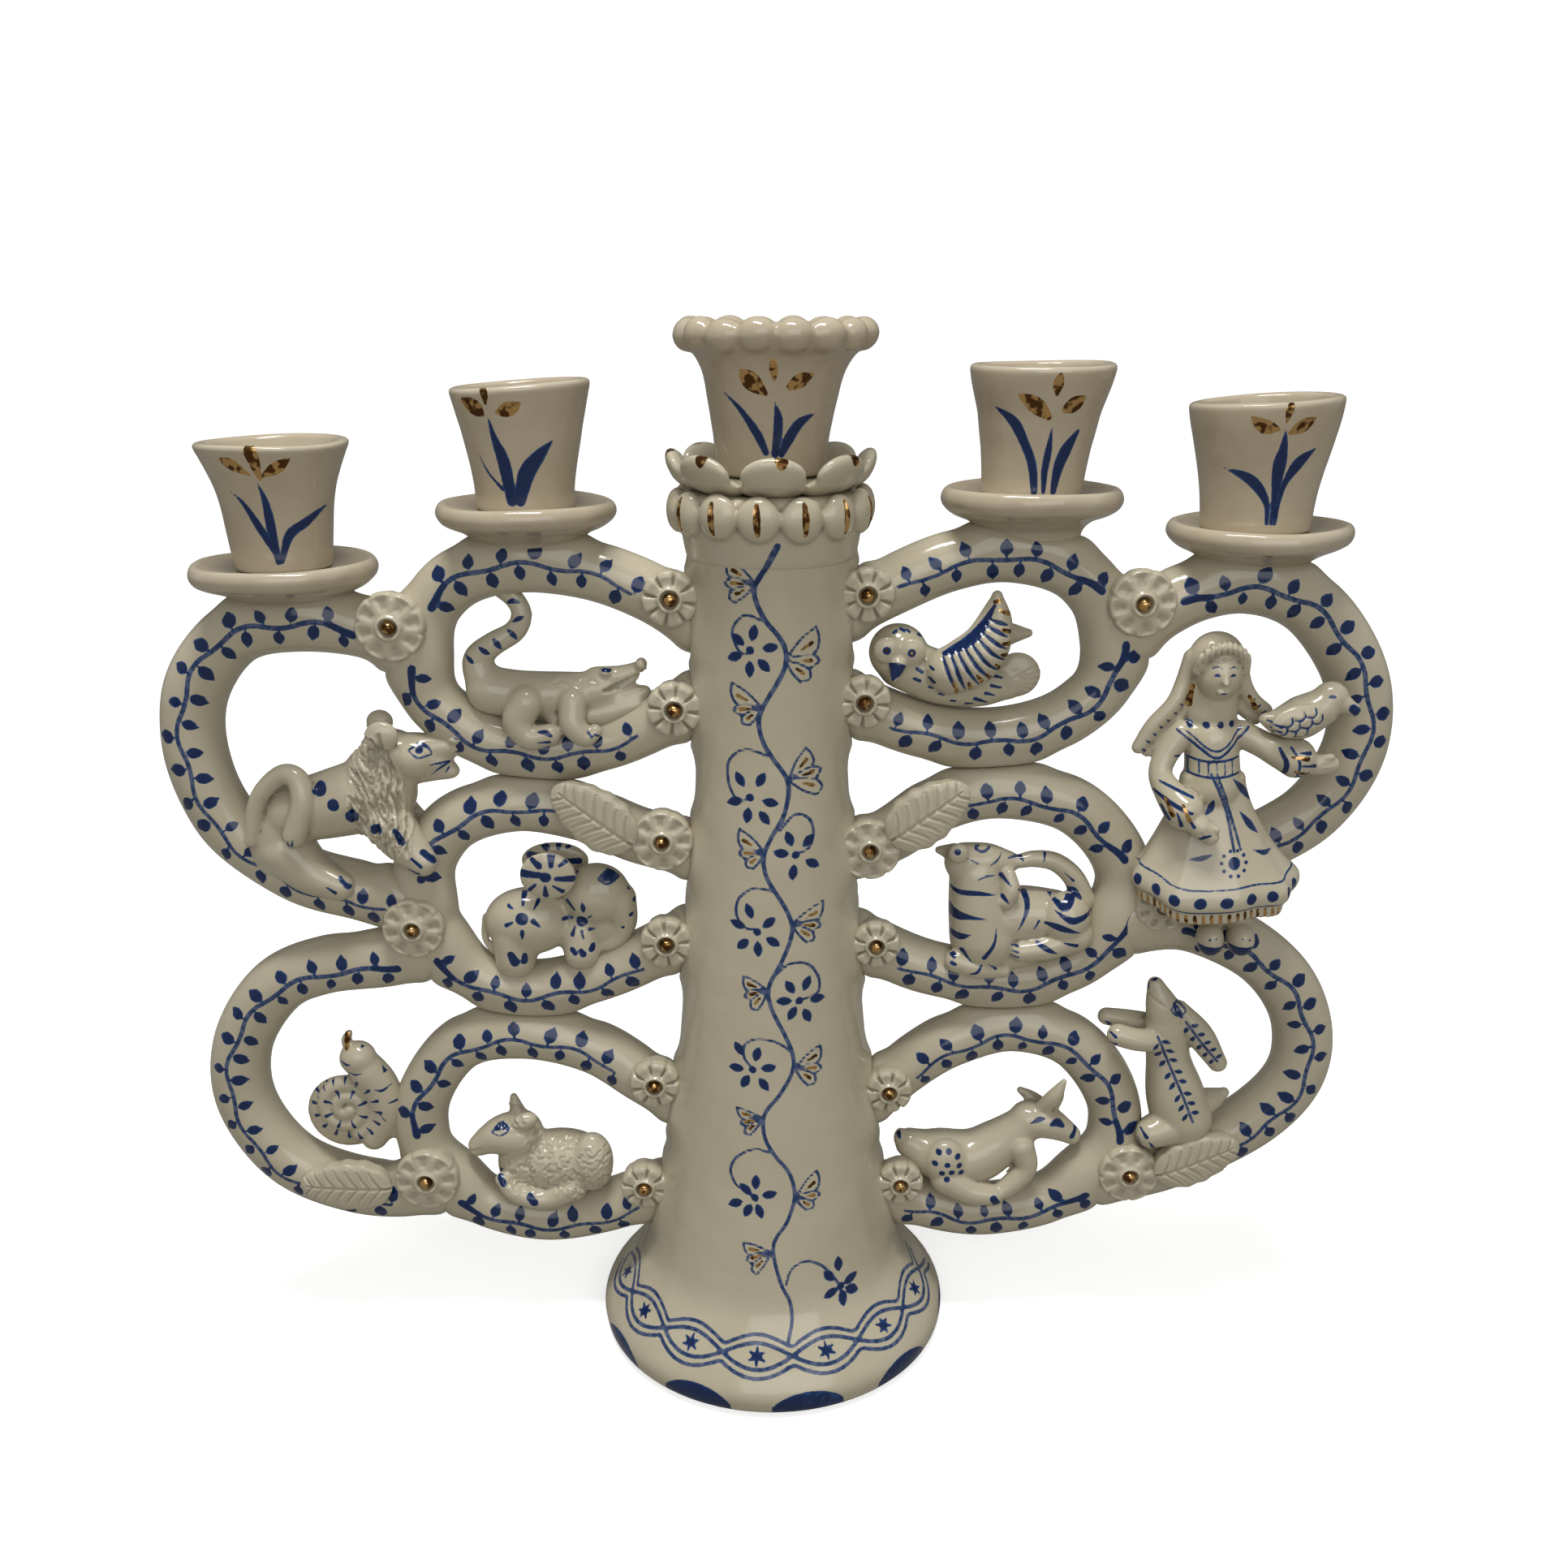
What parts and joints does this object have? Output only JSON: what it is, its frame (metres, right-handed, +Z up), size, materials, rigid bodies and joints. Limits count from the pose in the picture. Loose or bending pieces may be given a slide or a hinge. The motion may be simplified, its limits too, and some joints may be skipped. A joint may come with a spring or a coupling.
{
  "type": "clay tree of life candelabrum",
  "caption": "Glazed clay tree of life candelabrum: a hollow trunk on a spreading foot carries rolled clay loops with animals and a woman, and tapered cups for taper candles.",
  "frame": {"origin": "centre of the foot's ring on the table, under the trunk's axis", "axes": "+Z up along the trunk, +X to the viewer's right, -Y towards the decorated front"},
  "size_m": [0.4308, 0.1328, 0.3777],
  "materials": {
    "glaze_trunk": "gloss",
    "glaze_coil": "gloss",
    "glaze_cup": "gloss",
    "glaze_ornament": "gloss",
    "glaze_figure": "gloss"
  },
  "bodies": {
    "root": {"bead_ring": "glaze_ornament", "coil_crocodile": "glaze_coil", "coil_deer": "glaze_coil", "coil_dog": "glaze_coil", "coil_elephant": "glaze_coil", "coil_lamb": "glaze_coil", "coil_lion": "glaze_coil", "coil_owl": "glaze_coil", "coil_snake": "glaze_coil", "coil_tiger": "glaze_coil", "coil_woman": "glaze_coil", "crocodile": "glaze_figure", "crown_cup": "glaze_cup", "cup_left_inner": "glaze_cup", "cup_left_outer": "glaze_cup", "cup_right_inner": "glaze_cup", "cup_right_outer": "glaze_cup", "deer": "glaze_figure", "dog": "glaze_figure", "dove": "glaze_figure", "elephant": "glaze_figure", "lamb": "glaze_figure", "leaf_left_lower": "glaze_ornament", "leaf_left_upper": "glaze_ornament", "leaf_right_lower": "glaze_ornament", "leaf_right_upper": "glaze_ornament", "lion": "glaze_figure", "owl": "glaze_figure", "petal_dish": "glaze_ornament", "rosette_left_1": "glaze_ornament", "rosette_left_2": "glaze_ornament", "rosette_left_3": "glaze_ornament", "rosette_left_4": "glaze_ornament", "rosette_left_5": "glaze_ornament", "rosette_left_6": "glaze_ornament", "rosette_left_7": "glaze_ornament", "rosette_left_8": "glaze_ornament", "rosette_left_9": "glaze_ornament", "rosette_right_1": "glaze_ornament", "rosette_right_2": "glaze_ornament", "rosette_right_3": "glaze_ornament", "rosette_right_4": "glaze_ornament", "rosette_right_5": "glaze_ornament", "rosette_right_6": "glaze_ornament", "rosette_right_7": "glaze_ornament", "rosette_right_8": "glaze_ornament", "rosette_right_9": "glaze_ornament", "saucer_left_inner": "glaze_cup", "saucer_left_outer": "glaze_cup", "saucer_right_inner": "glaze_cup", "saucer_right_outer": "glaze_cup", "snake": "glaze_figure", "tiger": "glaze_figure", "trunk": "glaze_trunk", "woman": "glaze_figure"}
  },
  "joints": []
}
